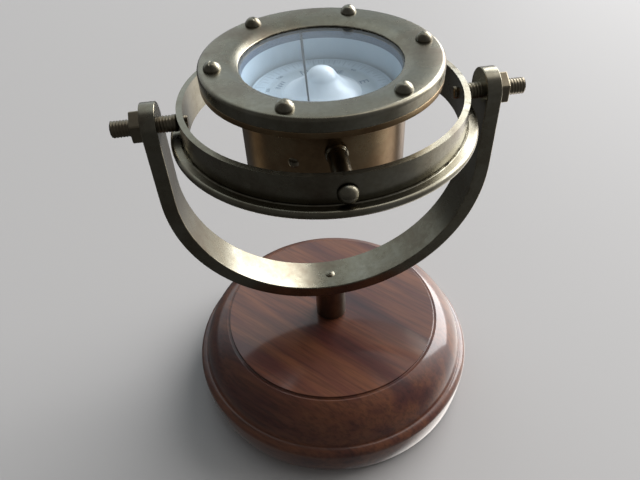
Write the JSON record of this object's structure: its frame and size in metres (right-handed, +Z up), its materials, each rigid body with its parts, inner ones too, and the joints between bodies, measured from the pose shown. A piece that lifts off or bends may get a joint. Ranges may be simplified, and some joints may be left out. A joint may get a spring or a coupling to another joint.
{
  "type": "gimballed marine compass",
  "caption": "Marine compass: a ballasted brass bowl with a floating card, hung in a gimbal ring between the arms of a yoke on a turned wooden base.",
  "frame": {"origin": "centre of the felt's underside, on the surface that the compass stands on", "axes": "+Z up through the post; X along the yoke's pins; -Y is the side that the picture shows in front"},
  "size_m": [0.113, 0.1, 0.1261],
  "materials": {
    "felt": "pressed felt",
    "lacquered_wood": "turned, stained, gloss lacquer",
    "aged_brass": "antiqued, satin",
    "dark_brass": "darkly antiqued",
    "raw_brass": "turned",
    "stainless": "turned",
    "magnet_steel": "blackened",
    "gasket_rubber": "matt",
    "clear_glass": "polished",
    "black_line": "matt paint",
    "card_white": "printed, matt",
    "float_white": "moulded",
    "jewel": "polished"
  },
  "bodies": {
    "stand": {"felt_pad": "felt", "wooden_base": "lacquered_wood", "base_bolt": "stainless", "base_washer": "stainless", "post": "dark_brass", "yoke": "aged_brass", "yoke_screw": "aged_brass", "yoke_pin_left": "dark_brass", "yoke_pin_right": "dark_brass", "lock_nut_left": "dark_brass", "lock_nut_right": "dark_brass"},
    "ring": {"gimbal_ring": "aged_brass"},
    "bowl": {"pivot_screw_front": "aged_brass", "pivot_screw_back": "aged_brass", "pivot_boss_front": "aged_brass", "pivot_boss_back": "aged_brass", "bowl": "aged_brass", "ballast": "raw_brass", "bottom_plate": "aged_brass", "bottom_screws": "aged_brass", "filler_plug": "dark_brass", "needle_stem": "raw_brass", "pivot_needle": "stainless", "gasket": "gasket_rubber", "glass": "clear_glass", "sight_line": "black_line", "bezel": "aged_brass", "bezel_screws": "aged_brass"},
    "card": {"card": "card_white", "card_float": "float_white", "jewel_cup": "jewel", "magnets": "magnet_steel"}
  },
  "joints": [
    {"name": "ring_tilt", "type": "hinge", "parent": "stand", "child": "ring", "pos_m": [0, 0, 0.1089], "axis": [1, 0, 0], "continuous": true},
    {"name": "bowl_tilt", "type": "hinge", "parent": "ring", "child": "bowl", "pos_m": [0, 0, 0.1089], "axis": [0, 1, 0], "continuous": true},
    {"name": "card_spin", "type": "hinge", "parent": "bowl", "child": "card", "pos_m": [0, 0, 0.1089], "axis": [0, 0, 1], "continuous": true}
  ]
}
